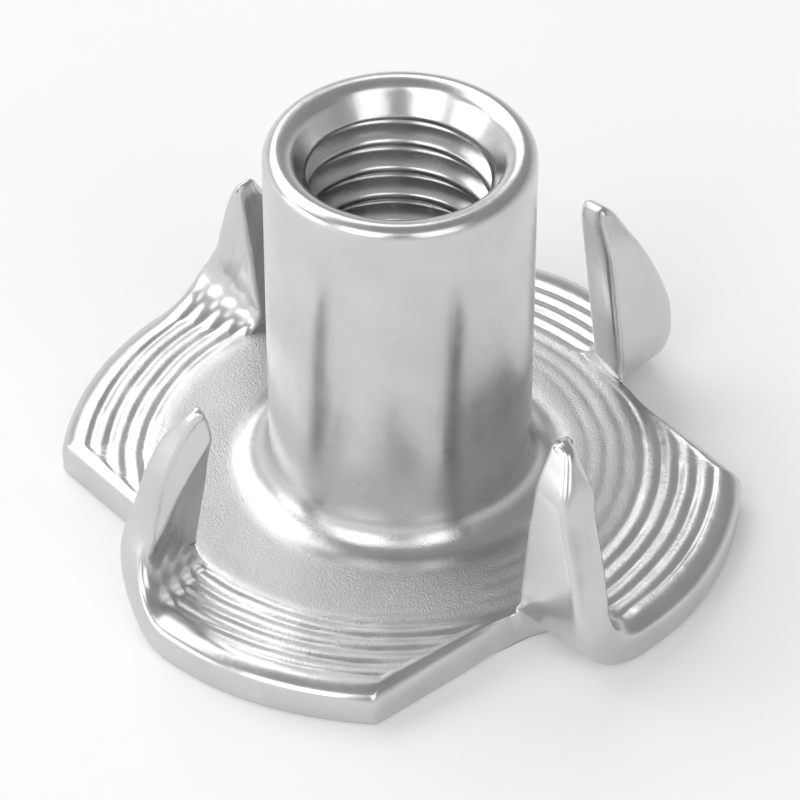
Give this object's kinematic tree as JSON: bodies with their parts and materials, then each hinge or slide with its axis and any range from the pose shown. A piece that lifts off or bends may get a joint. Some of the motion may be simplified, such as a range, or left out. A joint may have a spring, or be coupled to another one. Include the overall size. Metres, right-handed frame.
{
  "type": "tee nut",
  "caption": "Stamped tee nut: pinwheel flange with folded-up prongs round a tall threaded barrel, pressed into wood to hold a machine bolt.",
  "frame": {"origin": "on the thread axis, in the plane of the flange's underside", "axes": "+Z along the thread axis, from the flange to the barrel's mouth; -Y towards the viewer of the picture, between two prongs"},
  "size_m": [0.0262, 0.0262, 0.0164],
  "materials": {
    "steel": "bright, smooth pressed stainless steel with fine ridges on the upper face"
  },
  "bodies": {
    "root": {"tee_nut": "steel"}
  },
  "joints": []
}
